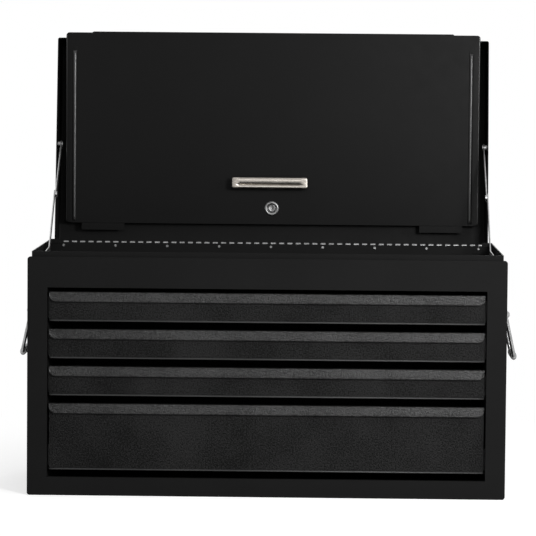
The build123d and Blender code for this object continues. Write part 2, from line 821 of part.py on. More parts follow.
# A bar on two posts, with a groove along its face.
grip_face = cover_front - handle_stand
with BuildPart() as cover_handle:
    with BuildSketch(facing_right(handle_shift - handle_length / 2)):
        with Locations((grip_face + handle_grip / 2, handle_z)):
            RectangleRounded(handle_grip, handle_height, handle_round)
    extrude(amount=handle_length)
    with BuildSketch(facing_front(grip_face + handle_grip / 2)):
        with Locations((handle_shift, handle_z)):
            with GridLocations(screw_spacing, 0, 2, 1):
                Rectangle(handle_post, handle_height - 2 * handle_round)
    extrude(amount=handle_grip / 2 - handle_stand)
    with BuildSketch(facing_right(handle_shift + handle_post - handle_length / 2)):
        with Locations((grip_face + groove_depth / 2, handle_z - groove_drop)):
            Rectangle(groove_depth, groove_height)
    extrude(amount=handle_length - 2 * handle_post, mode=Mode.SUBTRACT)
    with BuildSketch(facing_front(cover_front)):
        with Locations((handle_shift, handle_z)):
            with GridLocations(screw_spacing, 0, 2, 1):
                Circle(screw_radius + lock_clearance)
    extrude(amount=screw_depth, mode=Mode.SUBTRACT)
save(cover_handle.part, "cover_handle")

with BuildPart() as cover_handle_screws:
    with BuildSketch(facing_front(cover_back)):
        with Locations((handle_shift, handle_z)):
            with GridLocations(screw_spacing, 0, 2, 1):
                Circle(screw_head)
    extrude(amount=-screw_head_height)
    with BuildSketch(facing_front(cover_back)):
        with Locations((handle_shift, handle_z)):
            with GridLocations(screw_spacing, 0, 2, 1):
                Circle(screw_radius)
    extrude(amount=cover_sheet + screw_depth - cover_seat)
save(cover_handle_screws.part, "cover_handle_screws")

# ---- lock -------------------------------------------------------------------------------

lock_back = cover_back + lock_length
plug_hole = plug_radius + lock_clearance

with BuildPart() as lock_body:
    with BuildSketch(facing_front(cover_front)):
        with Locations((0, lock_z)):
            Circle(lock_ring)
    extrude(amount=lock_ring_height)
    fillet(edges().filter_by(GeomType.CIRCLE).sort_by(Axis.Y)[0], lock_ring_round)
    with BuildSketch(facing_front(cover_front)):
        with Locations((0, lock_z)):
            Circle(lock_barrel)
    extrude(amount=-cover_sheet - lock_length)
    with BuildSketch(facing_front(cover_front - lock_ring_height)):
        with Locations((0, lock_z)):
            Circle(plug_hole)
    extrude(amount=-lock_ring_height - cover_sheet - lock_length, mode=Mode.SUBTRACT)
save(lock_body.part, "lock_body")

with BuildPart() as lock_nut:
    with BuildSketch(facing_front(cover_back)):
        with Locations((0, lock_z)):
            RegularPolygon(nut_across / 2, 6, major_radius=False)
            Circle(lock_barrel + lock_clearance, mode=Mode.SUBTRACT)
    extrude(amount=-nut_height)
save(lock_nut.part, "lock_nut")

plug_face = cover_front - lock_ring_height
cam_front = lock_back + cover_seat
with BuildPart() as lock_plug:
    with BuildSketch(facing_front(plug_face)):
        with Locations((0, lock_z)):
            Circle(plug_radius)
    extrude(amount=plug_face - cam_front)
    with BuildSketch(facing_front(cam_front)):
        with Locations((0, lock_z)):
            Rectangle(cam_square, cam_square)
    extrude(amount=-cam_sheet)
    with BuildSketch(facing_front(plug_face)):
        with Locations((0, lock_z)):
            Rectangle(keyway_width, keyway_height)
    extrude(amount=-keyway_depth, mode=Mode.SUBTRACT)
save(lock_plug.part, "lock_plug")

with BuildPart() as lock_cam:
    with BuildSketch(facing_front(cam_front)):
        with Locations((0, lock_z + cam_reach / 2)):
            SlotCenterToCenter(cam_reach, cam_width, rotation=90)
        with Locations((0, lock_z)):
            Rectangle(cam_square, cam_square, mode=Mode.SUBTRACT)
    extrude(amount=-cam_sheet)
save(lock_cam.part, "lock_cam")

# ---- side handles -----------------------------------------------------------------------

side_x = shell_width / 2
bail_pivot_x = side_x + bail_pivot_stand
bail_pivot_z = rim_height - bail_pivot_drop
stub_end = bail_span / 2 + bail_stub
bail_turn = bail_rod + bail_turn_margin
ear_inner = bail_span / 2 + bail_rod + ear_gap
grip_drop = Vector(bail_drop * sin(radians(bail_lean)), 0, -bail_drop * cos(radians(bail_lean)))

# Two riveted plates on each side, each with an ear that the bail turns in.
with BuildPart() as handle_bracket:
    for turn in (-1, 1):
        ear_y = turn * (ear_inner + ear_thickness / 2)
        with BuildSketch(facing_right(side_x)):
            with Locations((ear_y, bail_pivot_z)):
                RectangleRounded(plate_width, plate_height, plate_corner)
        extrude(amount=plate_thickness)
        with BuildSketch(facing_front(ear_y + ear_thickness / 2)):
            with Locations((bail_pivot_x, bail_pivot_z)):
                Circle(ear_radius)
            with Locations(((side_x + bail_pivot_x) / 2, bail_pivot_z)):
                Rectangle(bail_pivot_stand, 2 * ear_radius)
            with Locations((bail_pivot_x, bail_pivot_z)):
                Circle(bail_rod + stud_clearance, mode=Mode.SUBTRACT)
        extrude(amount=ear_thickness)
        with BuildSketch(facing_right(side_x + plate_thickness)):
            with Locations((ear_y, bail_pivot_z)):
                with GridLocations(0, plate_rivet_spacing, 1, 2):
                    Circle(plate_rivet_head)
        extrude(amount=plate_rivet_head_height)

save(handle_bracket.part.mirror(Plane.YZ), "handle_bracket_left")
save(handle_bracket.part, "handle_bracket_right")

# The bail: a round rod bent into a stirrup, with an oval grip moulded round its middle.
pivot_point = Vector(bail_pivot_x, 0, bail_pivot_z)
grip_point = pivot_point + grip_drop
arm_y = Vector(0, bail_span / 2, 0)
stub_y = Vector(0, stub_end, 0)
with BuildPart() as bail:
    with BuildLine():
        bend_path = FilletPolyline(
            pivot_point - stub_y,
            pivot_point - arm_y,
            grip_point - arm_y,
            grip_point + arm_y,
            pivot_point + arm_y,
            pivot_point + stub_y,
            radius=[bail_turn, bail_bend, bail_bend, bail_turn],
        )
    with BuildSketch(facing_front(-stub_end)):
        with Locations((bail_pivot_x, bail_pivot_z)):
            Circle(bail_rod)
    sweep(path=bend_path)
save(bail.part.mirror(Plane.YZ), "bail_left")
save(bail.part, "bail_right")

with BuildPart() as bail_grip:
    with BuildSketch(facing_front(-bail_grip_length / 2)):
        with Locations(Location((grip_point.X, grip_point.Z), bail_lean)):
            Ellipse(bail_grip_width, bail_grip_height)
            Circle(bail_rod + grip_clearance, mode=Mode.SUBTRACT)
    extrude(amount=-bail_grip_length)
save(bail_grip.part.mirror(Plane.YZ), "bail_grip_left")
save(bail_grip.part, "bail_grip_right")
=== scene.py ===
import json
import math
import random

import bmesh
import bpy
from mathutils import Matrix, Vector


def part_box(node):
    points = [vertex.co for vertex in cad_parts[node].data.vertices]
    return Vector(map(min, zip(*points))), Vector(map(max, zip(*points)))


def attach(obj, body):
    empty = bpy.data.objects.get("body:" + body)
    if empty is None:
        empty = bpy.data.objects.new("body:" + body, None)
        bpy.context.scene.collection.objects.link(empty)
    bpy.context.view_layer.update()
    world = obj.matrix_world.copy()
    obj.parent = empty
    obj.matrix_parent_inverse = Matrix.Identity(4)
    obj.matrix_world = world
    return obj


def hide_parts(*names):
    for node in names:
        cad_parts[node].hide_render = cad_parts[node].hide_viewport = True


# Looks of a machinist tool chest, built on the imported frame. Metres, the frame's own axes:
# X right, -Y front, +Z up.

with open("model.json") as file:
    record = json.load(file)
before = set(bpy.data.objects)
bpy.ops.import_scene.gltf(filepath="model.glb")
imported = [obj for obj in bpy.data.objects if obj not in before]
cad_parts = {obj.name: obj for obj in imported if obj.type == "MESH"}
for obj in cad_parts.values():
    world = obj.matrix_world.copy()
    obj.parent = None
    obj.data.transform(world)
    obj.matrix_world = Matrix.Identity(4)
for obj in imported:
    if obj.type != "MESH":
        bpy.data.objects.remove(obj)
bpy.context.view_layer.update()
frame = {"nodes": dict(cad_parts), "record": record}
nodes = frame["nodes"]
rng = random.Random(7)
MM = 0.001
DRAWERS = (1, 2, 3, 4)
SIDES = ("left", "right")


# ---- materials --------------------------------------------------------------------------


def srgb(*c):
    """Linear colour from sRGB steps of 0 to 255."""
    out = []
    for v in c if len(c) == 3 else c * 3:
        v /= 255.0
        out.append(v / 12.92 if v <= 0.04045 else ((v + 0.055) / 1.055) ** 2.4)
    return (*out, 1.0)


class Mat:
    """A small helper for node materials with one Principled shader."""

    def __init__(self, name):
        self.m = bpy.data.materials.new(name)
        self.m.use_nodes = True
        self.t = self.m.node_tree
        self.bsdf = self.t.nodes["Principled BSDF"]
        self.coord = self.t.nodes.new("ShaderNodeTexCoord")

    def set(self, **values):
        for k, v in values.items():
            self.bsdf.inputs[k.replace("_", " ")].default_value = v
        return self

    def link(self, a, b):
        self.t.links.new(a, b)

    def mapped(self, scale):
        n = self.t.nodes.new("ShaderNodeMapping")
        n.inputs["Scale"].default_value = scale
        self.link(self.coord.outputs["Object"], n.inputs["Vector"])
        return n.outputs["Vector"]

    def noise(self, scale, detail=3.0, rough=0.5, stretch=(1, 1, 1)):
        n = self.t.nodes.new("ShaderNodeTexNoise")
        n.inputs["Scale"].default_value = scale
        n.inputs["Detail"].default_value = detail
        n.inputs["Roughness"].default_value = rough
        self.link(self.mapped(stretch), n.inputs["Vector"])
        return n.outputs["Fac"]

    def ramp(self, fac, *stops):
        n = self.t.nodes.new("ShaderNodeValToRGB")
        e = n.color_ramp.elements
        while len(e) < len(stops):
            e.new(0.5)
        for i, (p, c) in enumerate(stops):
            e[i].position = p
            e[i].color = c
        self.link(fac, n.inputs["Fac"])
        return n.outputs["Color"]

    def span(self, fac, low, high):
        """A value of 0 to 1, spread from low to high."""
        n = self.t.nodes.new("ShaderNodeMapRange")
        n.inputs["To Min"].default_value = low
        n.inputs["To Max"].default_value = high
        self.link(fac, n.inputs["Value"])
        return n.outputs["Result"]

    def maths(self, kind, a, b):
        n = self.t.nodes.new("ShaderNodeMath")
        n.operation = kind
        for i, v in enumerate((a, b)):
            if isinstance(v, (int, float)):
                n.inputs[i].default_value = v
            else:
                self.link(v, n.inputs[i])
        return n.outputs[0]

    def bump(self, height, strength, distance):
        n = self.t.nodes.new("ShaderNodeBump")
        n.inputs["Strength"].default_value = strength
        n.inputs["Distance"].default_value = distance
        self.link(height, n.inputs["Height"])
        last = self.bsdf.inputs["Normal"]
        if last.is_linked:
            self.link(last.links[0].from_socket, n.inputs["Normal"])
        self.link(n.outputs["Normal"], last)
        return self

    def colour(self, socket):
        self.link(socket, self.bsdf.inputs["Base Color"])
        return self

    def rough(self, socket):
        self.link(socket, self.bsdf.inputs["Roughness"])
        return self


def paint(name, dark, light, roughness, specular):
    """Sprayed paint: a fine orange peel and a soft, uneven gloss."""
    m = Mat(name).set(Specular_IOR_Level=specular)
    cloud = m.noise(7.0, 4.0, 0.6)
    m.colour(m.ramp(cloud, (0.3, dark), (0.7, light)))
    m.rough(m.span(m.noise(55.0, 3.0), roughness - 0.05, roughness + 0.05))
    m.bump(m.noise(1400.0, 2.0), 0.16, 0.0002)
    m.bump(m.noise(260.0, 2.0), 0.06, 0.0004)
    return m.m


def textured(name, dark, light, roughness, specular, grain, depth):
    """Wrinkle paint: a coarse pebbled coat, its crests painted lighter and its pits darker, as
    painted highlight and shade over the bump.
    """
    m = Mat(name).set(Specular_IOR_Level=specular)
    pebble = m.noise(grain, 3.0, 0.65)
    cloud = m.noise(12.0, 4.0, 0.6)
    both = m.maths("ADD", m.maths("MULTIPLY", pebble, 0.75), m.maths("MULTIPLY", cloud, 0.25))
    # painted highlight and shade: the colour follows the pebbles, light on the crests and near black
    # in the pits, with a little random cloud mixed in
    m.colour(m.ramp(both, (0.42, dark), (0.58, light)))
    m.rough(m.span(pebble, roughness + 0.08, roughness - 0.08))
    m.bump(pebble, 0.9, depth)
    m.bump(m.noise(grain * 3.5, 2.0), 0.3, depth * 0.4)
    return m.m


def brushed(name, dark, light, roughness, along):
    """Brushed metal, with the grain along one axis (0, 1 or 2)."""
    m = Mat(name).set(Metallic=1.0)
    stretch = [260.0, 260.0, 260.0]
    stretch[along] = 6.0
    grain = m.noise(8.0, 5.0, 0.65, stretch)
    m.colour(m.ramp(grain, (0.25, dark), (0.75, light)))
    m.rough(m.span(grain, roughness - 0.07, roughness + 0.09))
    m.bump(grain, 0.18, 0.0002)
    return m.m


def metal(name, dark, light, roughness):
    """Plated or rolled steel with a faint mottle."""
    m = Mat(name).set(Metallic=1.0)
    spot = m.noise(160.0, 5.0, 0.6)
    m.colour(m.ramp(spot, (0.3, dark), (0.7, light)))
    m.rough(m.span(m.noise(420.0, 3.0), roughness - 0.06, roughness + 0.08))
    m.bump(m.noise(900.0, 2.0), 0.08, 0.0002)
    return m.m


def felt(name, dark, light):
    """Pressed felt: fine fibres, faint blots and a soft sheen."""
    m = Mat(name).set(Roughness=0.95, Specular_IOR_Level=0.1, Sheen_Weight=0.25, Sheen_Roughness=0.6)
    fibre = m.noise(2600.0, 6.0, 0.75)
    blot = m.noise(38.0, 4.0, 0.6)
    both = m.maths("ADD", m.maths("MULTIPLY", fibre, 0.6), m.maths("MULTIPLY", blot, 0.4))
    m.colour(m.ramp(both, (0.35, dark), (0.65, light)))
    m.bump(fibre, 0.6, 0.0006)
    return m.m


def moulded(name, dark, light, roughness):
    """Moulded rubber with a fine grain."""
    m = Mat(name).set(Specular_IOR_Level=0.35)
    m.colour(m.ramp(m.noise(30.0, 3.0), (0.3, dark), (0.7, light)))
    m.rough(m.span(m.noise(200.0, 3.0), roughness - 0.06, roughness + 0.06))
    m.bump(m.noise(900.0, 3.0), 0.25, 0.0003)
    return m.m


BODY = paint("body_paint", srgb(17), srgb(20), 0.5, 0.05)
COVER = paint("cover_paint", srgb(15), srgb(18), 0.42, 0.055)
# the wrinkle paint of the drawer fronts and the pulls carries painted highlight and shade in its
# colour
FACE = textured("drawer_paint", srgb(2), srgb(34), 0.46, 0.06, 480.0, 0.0009)
# a glossier copy of the cover paint for its beads and rolled edges; its lighter colour is a painted
# highlight
BEAD_GLOSS_AND_PAINTED_HIGHLIGHT = paint("cover_bead_paint_painted_highlight", srgb(22), srgb(30), 0.3, 0.5)
# a lighter, glossier copy of the drawer paint for the hem beads; the lighter colour is a painted
# highlight
HEM_HIGHLIGHT = paint("hem_paint_painted_highlight", srgb(34), srgb(48), 0.4, 0.3)
# a lighter copy of the body paint for the parts inside the cabinet, lifting their shade: painted
# light
INSIDE_LIGHTENED = paint("body_paint_inside_lightened", srgb(22), srgb(25), 0.58, 0.12)
PULL = textured("pull_trim", srgb(0), srgb(44), 0.29, 0.2, 400.0, 0.0009)
TRAY = felt("tray_felt", srgb(24), srgb(34))
MAT = moulded("drawer_mat", srgb(28), srgb(33), 0.75)
SLIDE = metal("slide_steel", srgb(52), srgb(66), 0.42)
ZINC = metal("zinc_steel", srgb(150, 152, 154), srgb(178, 180, 182), 0.32)
GRIP = metal("grip_sleeve", srgb(84), srgb(150), 0.28)
HANDLE = metal("handle_steel", srgb(120), srgb(170), 0.24)
STAY = metal("stay_steel", srgb(132), srgb(170), 0.34)
HINGE = metal("hinge_steel", srgb(104), srgb(138), 0.4)
NICKEL = brushed("nickel", srgb(112, 107, 101), srgb(172, 167, 160), 0.27, 0)
CHROME = metal("lock_chrome", srgb(100), srgb(142), 0.38)
BY_SLOT = {
    "body_paint": BODY,
    "pull_trim": PULL,
    "drawer_mat": MAT,
    "tray_mat": TRAY,
    "slide_steel": SLIDE,
    "grip_sleeve": GRIP,
    "handle_steel": HANDLE,
    "stay_steel": STAY,
    "hinge_steel": HINGE,
    "nickel": NICKEL,
    "lock_chrome": CHROME,
    "zinc_steel": ZINC,
}
OWN = {f"drawer_box_{number}": FACE for number in DRAWERS}
OWN |= {"cover_panel": COVER, "cover_clips": COVER}
# these inside parts take the lightened copy of the body paint, which lifts the shade between the
# drawers
INSIDE = ("slide_panel_left", "slide_panel_right", "top_tray", "base_panel")
slot_of = {s["node"]: s["material_slot"] for s in frame["record"]["subparts"]}

for name, obj in nodes.items():
    obj.data.materials.clear()
    obj.data.materials.append(OWN.get(name, INSIDE_LIGHTENED if name in INSIDE else BY_SLOT[slot_of[name]]))


# ---- softer edges on the sheet metal ----------------------------------------------------


def soften(name, width, segments):
    """Rounds a CAD node's edges with modifiers, so that they catch the light."""
    obj = nodes[name]
    weld = obj.modifiers.new("weld", "WELD")
    weld.merge_threshold = 1e-6
    bevel = obj.modifiers.new("bevel", "BEVEL")
    bevel.width = width
    bevel.segments = segments
    bevel.limit_method = "ANGLE"
    bevel.angle_limit = math.radians(35)
    bevel.harden_normals = False
    bevel.use_clamp_overlap = True
    normal = obj.modifiers.new("normal", "WEIGHTED_NORMAL")
    normal.keep_sharp = True


# how the nodes' names begin, the bevel's width and its segments
SOFT_EDGES = (
    (("front_frame",), 0.45 * MM, 2),
    (("cabinet_shell",), 0.2 * MM, 1),
    (("drawer_box", "cover_panel", "cover_clips", "cover_handle_", "lid_shell"), 0.3 * MM, 2),
    (("lock_nut", "lock_cam", "top_tray", "stay_", "handle_bracket"), 0.3 * MM, 2),
)
for name in nodes:
    for beginnings, width, segments in SOFT_EDGES:
        if name.startswith(beginnings):
            soften(name, width, segments)


# ---- mesh helpers -----------------------------------------------------------------------


def finish_mesh(name, bm, material, smooth_angle):
    """Makes an object of a bmesh, smooth but for edges sharper than an angle in degrees."""
    bmesh.ops.recalc_face_normals(bm, faces=bm.faces)
    me = bpy.data.meshes.new(name)
    bm.to_mesh(me)
    bm.free()
    obj = bpy.data.objects.new(name, me)
    bpy.context.scene.collection.objects.link(obj)
    me.materials.append(material)
    me.shade_smooth()
    me.set_sharp_from_angle(angle=math.radians(smooth_angle))
    return obj


def skin(bm, rings, endless=False):
    """Joins each ring of vertices to the next. An endless skin meets itself, others get ends."""
    n = len(rings[0])
    following = rings[1:] + rings[:1] if endless else rings[1:]
    for a, b in zip(rings, following):
        for i in range(n):
            j = (i + 1) % n
            bm.faces.new((a[i], a[j], b[j], b[i]))
    if not endless:
        bm.faces.new(rings[0][::-1])
        bm.faces.new(rings[-1])


def loft(sections, endless=False):
    """A new skin over closed rings of points, all with the same count."""
    bm = bmesh.new()
    skin(bm, [[bm.verts.new(p) for p in section] for section in sections], endless)
    return bm


def arc(cx, cy, r, start, end, steps):
    """Points on an arc, in degrees."""
    out = []
    for i in range(steps + 1):
        a = math.radians(start + (end - start) * i / steps)
        out.append((cx + r * math.cos(a), cy + r * math.sin(a)))
    return out


def falls_back(distance, radius):
    """How far a rounded edge falls back, at a distance in from its end."""
    if distance >= radius:
        return 0.0
    return radius - math.sqrt(max(radius**2 - (radius - distance) ** 2, 0.0))


def pierce(obj, x, z, radius, near, far):
    """Cuts a round hole along Y through a piece, between two depths."""
    sides = 48
    circle = arc(x, z, radius, 0, 360 - 360 / sides, sides - 1)
    rings = [[(u, y, v) for u, v in circle] for y in (near, far)]
    cutter = finish_mesh("cutter", loft(rings), obj.data.materials[0], 40)
    cut = obj.modifiers.new("hole", "BOOLEAN")
    cut.operation = "DIFFERENCE"
    cut.solver = "EXACT"
    cut.object = cutter
    seen = obj.evaluated_get(bpy.context.evaluated_depsgraph_get())
    pierced = bpy.data.meshes.new_from_object(seen)
    obj.modifiers.remove(cut)
    obj.data = pierced
    bpy.data.objects.remove(cutter)


# ---- drawer pulls -----------------------------------------------------------------------


def pull(number):
    """A full-width pull with a rolled lower edge and rounded lower corners."""
    node = f"drawer_pull_{number}"
    lo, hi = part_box(node)
    sheet = 1.5 * MM
    corner = 10 * MM
    roll = 1.05 * MM
    nose = 1.2 * MM
    nose_inset = 3.3 * MM
    neck = 2.6 * MM
    least_room = 0.6 * MM
    front, top = lo.y, hi.z
    half = (hi.x - lo.x) / 2
    stations = [0.0]
    stations += [corner * (1 - math.cos(math.radians(a))) for a in range(6, 91, 6)]
    stations += [corner + (half - corner) * t for t in (0.1, 0.3, 0.6, 1.0)]
    xs = [lo.x + s for s in stations]
    xs += [lo.x + hi.x - x for x in reversed(xs[:-1])]
    sections = []
    for x in xs:
        bottom = lo.z + falls_back(min(x - lo.x, hi.x - x), corner)
        r = min(roll, max(top - neck - bottom, least_room) / 2)
        centre = bottom + r
        # the top ledge, from the drawer's face forwards
        ring = [(hi.y, top)]
        ring += arc(front + nose_inset, top - nose, nose, 90, 160, 5)
        # the strip leans out a little towards its lower edge and ends in a roll
        ring.append((front + 1.95 * MM, top - 2.4 * MM))
        ring.append((front + 0.9 * MM, centre + (top - centre) * 0.42))
        ring += arc(front + r, centre, r, 170, 330, 9)
        # its back, a sheet's thickness behind
        ring.append((front + sheet + 0.2 * MM, centre + r * 0.9))
        ring.append((front + sheet + 2.0 * MM, top - sheet - 1.4 * MM))
        ring.append((front + sheet + 3.0 * MM, top - sheet))
        ring.append((hi.y, top - sheet))
        sections.append([(x, y, z) for y, z in ring])
    obj = finish_mesh(f"pull_{number}", loft(sections), PULL, 50)
    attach(obj, f"drawer_{number}")
    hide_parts(node)


for number in DRAWERS:
    pull(number)


# ---- drawer mats and the tray's felt ------------------------------------------------------


def ribbed_mat(number):
    """A rubber drawer mat with fine ribs from side to side."""
    node = f"drawer_liner_{number}"
    lo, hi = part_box(node)
    pitch = 5.0 * MM
    margin = 4 * MM
    bevel = 0.4 * MM
    valley = hi.z - 0.6 * MM
    side = lo.z + 1.2 * MM
    count = int((hi.y - lo.y - margin) / pitch)
    start = (lo.y + hi.y - count * pitch) / 2
    ring = [(lo.y, side), (lo.y + bevel, valley)]
    for i in range(count):
        y = start + pitch * i
        ring += [(y, valley), (y + 1.0 * MM, hi.z), (y + 2.2 * MM, hi.z), (y + 3.2 * MM, valley)]
    ring += [(hi.y - bevel, valley), (hi.y, side), (hi.y, lo.z), (lo.y, lo.z)]
    bm = loft([[(x, y, z) for y, z in ring] for x in (lo.x, hi.x)])
    obj = finish_mesh(f"mat_{number}", bm, MAT, 30)
    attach(obj, f"drawer_{number}")
    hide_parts(node)


for number in DRAWERS:
    ribbed_mat(number)


def tray_felt():
    """The tray's felt: a thin sheet with a soft edge and slight unevenness."""
    lo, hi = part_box("tray_liner")
    nap = 0.25 * MM
    edge_drop = 0.9 * MM
    unevenness = 0.12 * MM
    nx, ny = 96, 48
    bm = bmesh.new()
    top, bottom = {}, {}
    for i in range(nx + 1):
        for j in range(ny + 1):
            x = lo.x + (hi.x - lo.x) * i / nx
            y = lo.y + (hi.y - lo.y) * j / ny
            drop = edge_drop if min(i, nx - i, j, ny - j) == 0 else 0.0
            wave = unevenness * (math.sin(x * 31 + 1.3) * math.cos(y * 43) + rng.uniform(-0.35, 0.35))
            top[i, j] = bm.verts.new((x, y, hi.z - nap - drop + wave))
            bottom[i, j] = bm.verts.new((x, y, lo.z))
    for i in range(nx):
        for j in range(ny):
            bm.faces.new((top[i, j], top[i + 1, j], top[i + 1, j + 1], top[i, j + 1]))
            bm.faces.new((bottom[i, j], bottom[i, j + 1], bottom[i + 1, j + 1], bottom[i + 1, j]))
    rim = [(i, 0) for i in range(nx)] + [(nx, j) for j in range(ny)]
    rim += [(i, ny) for i in range(nx, 0, -1)] + [(0, j) for j in range(ny, 0, -1)]
    for a, b in zip(rim, rim[1:] + rim[:1]):
        bm.faces.new((top[a], bottom[a], bottom[b], top[b]))
    obj = finish_mesh("tray_felt", bm, TRAY, 60)
    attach(obj, "cabinet")
    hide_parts("tray_liner")


tray_felt()


# ---- rolled hems, one along the lower edge of each drawer front ---------------------------


def hem(number):
    """The turned-under lower edge of a drawer front, a thin bead that runs its full width, coloured
    lighter than the front as a painted highlight along it.
    """
    lo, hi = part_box(f"drawer_box_{number}")
    radius = 1.25 * MM
    bedded = 0.2 * MM
    tip, shoulder = 0.3 * MM, 1.2 * MM
    ends = ((lo.x + tip, 0.5), (lo.x + shoulder, 1.0), (hi.x - shoulder, 1.0), (hi.x - tip, 0.5))
    sections = []
    for x, size in ends:
        bead = arc(lo.y + bedded, lo.z + radius, radius * size, 90, 270, 12)
        sections.append([(x, y, z) for y, z in bead])
    obj = finish_mesh(f"hem_{number}", loft(sections), HEM_HIGHLIGHT, 60)
    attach(obj, f"drawer_{number}")


for number in DRAWERS:
    hem(number)


# ---- front cover's panel ----------------------------------------------------------------


def cover_panel():
    """The pressed panel: rolled side edges, two upright beads and a turned lower edge.

    Its section is drawn across X and carried up Z, and the beads fade out at their ends.
    """
    lo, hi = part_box("cover_panel")
    sheet = 0.9 * MM
    corner = 5 * MM
    roll = 1.5 * MM
    lip = 0.3 * MM
    shallow_roll = 0.6 * MM
    bead_r = 2.8 * MM
    bead_fade = 2.2 * bead_r
    half = (hi.x - lo.x) / 2
    bead_x = half - 13.5 * MM
    bead_low, bead_high = lo.z + 3 * MM, hi.z - 28 * MM
    fold_top = hi.z - 16 * MM
    face, back = lo.y + bead_r, hi.y
    sharp = 35

    def bead_at(z):
        d = min(z - bead_low, bead_high - z)
        if d <= 0:
            return 0.0
        return math.sqrt(max(0.0, 1 - (1 - min(d / bead_fade, 1.0)) ** 2))

    def outline(w, bead, folded):
        """Half of the section, from the middle out, as (x, y) points on the front."""
        pts = [(0.0, face), (bead_x * 0.5, face)]
        pts += [(bead_x - bead_r * k, face) for k in (1.5, 1.12)]
        for a in range(-80, 81, 16):
            r = math.radians(a)
            pts.append((bead_x + bead_r * math.sin(r), face - bead_r * math.cos(r) * bead))
        pts += [(bead_x + bead_r * k, face) for k in (1.12, 1.5)]
        # above the folds the edge is only as deep as the sheet, so it clears the lid behind it
        deep = roll if folded else shallow_roll
        for a in range(0, 91, 18):
            r = math.radians(a)
            pts.append((w - roll + roll * math.sin(r), face + deep - deep * math.cos(r)))
        pts.append((w, back if folded else face + deep + lip))
        return pts

    def whole_section(front):
        """Both halves of the front, and the same line a sheet's thickness behind."""
        behind = []
        for i, (x, y) in enumerate(front):
            px, py = front[max(i - 1, 0)]
            qx, qy = front[min(i + 1, len(front) - 1)]
            t = Vector((qx - px, qy - py)).normalized()
            behind.append((x - t.y * sheet if i else 0.0, y + t.x * sheet))
        outer = [(-x, y) for x, y in reversed(front[1:])] + front
        inner = [(-x, y) for x, y in reversed(behind[1:])] + behind
        return outer + inner[::-1]

    rounding = [corner * (1 - math.cos(math.radians(a))) for a in range(0, 91, 15)]
    fading = [bead_fade * k for k in (0.0, 0.1, 0.3, 0.6, 1.0)]
    zs = [lo.z + d for d in rounding] + [hi.z - d for d in rounding]
    zs += [bead_low + d for d in fading] + [bead_high - d for d in fading]
    zs += [lo.z + 60 * MM, lo.z + 150 * MM, fold_top - 0.5 * MM, fold_top]
    bm = bmesh.new()
    rings = []
    for z in sorted({round(z, 6) for z in zs}):
        width = half - falls_back(min(z - lo.z, hi.z - z), corner)
        section = whole_section(outline(width, bead_at(z), z < fold_top - 0.1 * MM))
        rings.append([bm.verts.new((x, y, z)) for x, y in section])
    skin(bm, rings)
    # the lower edge, turned back between the corners
    reach = half - corner
    turned_in = [
        (face + 0.1 * MM, lo.z + roll),
        (face + 0.5 * MM, lo.z + 0.4 * MM),
        (face + roll, lo.z),
        (back, lo.z),
        (back, lo.z + sheet),
        (face + roll, lo.z + sheet),
        (face + 1.0 * MM, lo.z + roll),
    ]
    skin(bm, [[bm.verts.new((x, y, z)) for y, z in turned_in] for x in (-reach, reach)])
    obj = finish_mesh("cover_sheet", bm, COVER, sharp)
    # holes for the lock's barrel and the handle's two screws
    lock_lo, lock_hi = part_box("lock_body")
    screw_lo, screw_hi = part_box("cover_handle_screws")
    lock_hole, screw_hole, screw_head = 9.55 * MM, 2.05 * MM, 4 * MM
    lock_x, lock_z = (lock_lo.x + lock_hi.x) / 2, (lock_lo.z + lock_hi.z) / 2
    screw_z = (screw_lo.z + screw_hi.z) / 2
    holes = [(lock_x, lock_z, lock_hole)]
    holes += [(x, screw_z, screw_hole) for x in (screw_lo.x + screw_head, screw_hi.x - screw_head)]
    for x, z, radius in holes:
        pierce(obj, x, z, radius, face - MM, face + 2 * MM)
    obj.data.set_sharp_from_angle(angle=math.radians(sharp))
    # the beads and rolled side edges take the glossier copy, whose lighter colour paints their
    # highlight
    obj.data.materials.append(BEAD_GLOSS_AND_PAINTED_HIGHLIGHT)
    for poly in obj.data.polygons:
        c = poly.center
        in_bead = abs(abs(c.x) - bead_x) < bead_r * 1.05 and c.y < face - 0.05 * MM
        on_edge = abs(c.x) > half - roll * 1.02 and c.y < face + roll
        if in_bead or on_edge:
            poly.material_index = 1
    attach(obj, "cover")
    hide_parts("cover_panel")


cover_panel()


# ---- cover handle -----------------------------------------------------------------------


